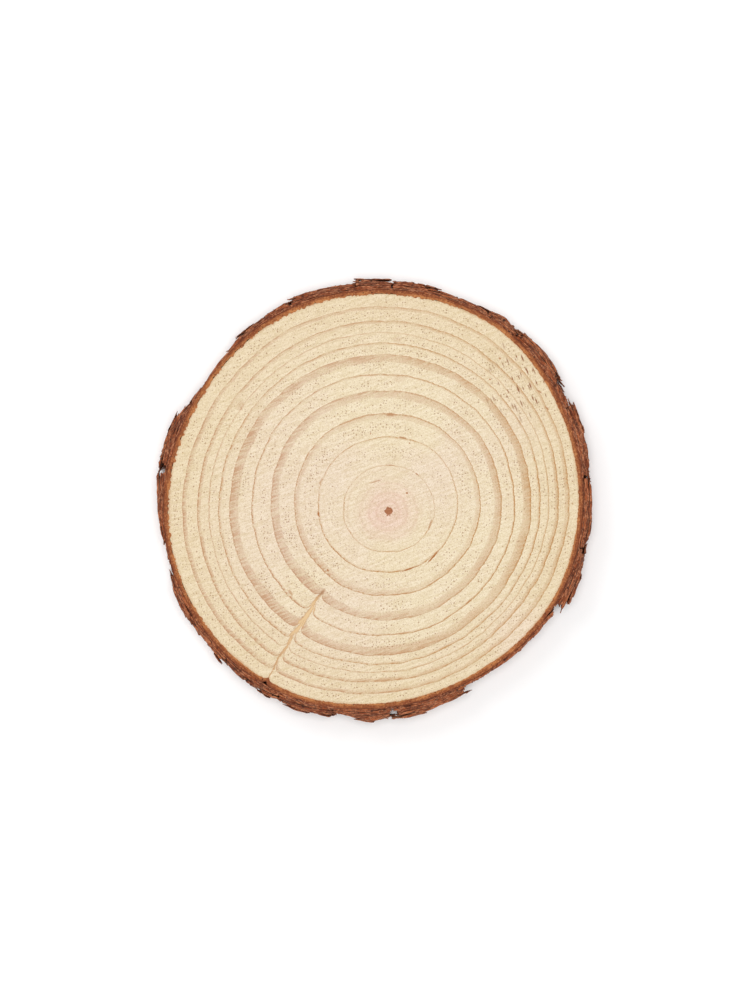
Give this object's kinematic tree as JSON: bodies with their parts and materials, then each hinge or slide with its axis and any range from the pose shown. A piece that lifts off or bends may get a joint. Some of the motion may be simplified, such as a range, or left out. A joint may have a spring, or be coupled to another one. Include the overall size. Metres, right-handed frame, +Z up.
{
  "type": "wood slice",
  "caption": "Flat slice of a pine stem with its bark on, growth rings on both sawn faces, for craft, display or use as a coaster.",
  "frame": {"origin": "middle of the slice's bounding box, on the underside that it rests on", "axes": "+Z up, square to the sawn faces; +Y towards the thickest growth, away from the short side; +X to the right of it as seen from above"},
  "size_m": [0.1534, 0.155, 0.015],
  "materials": {
    "wood": "sawn and lightly sanded end grain, matt, cream with pinkish-tan rings",
    "bark": "rough flaky pine bark, matt, red-brown, orange-brown where it meets the wood"
  },
  "bodies": {
    "root": {"wood_slice": "wood"}
  },
  "joints": []
}
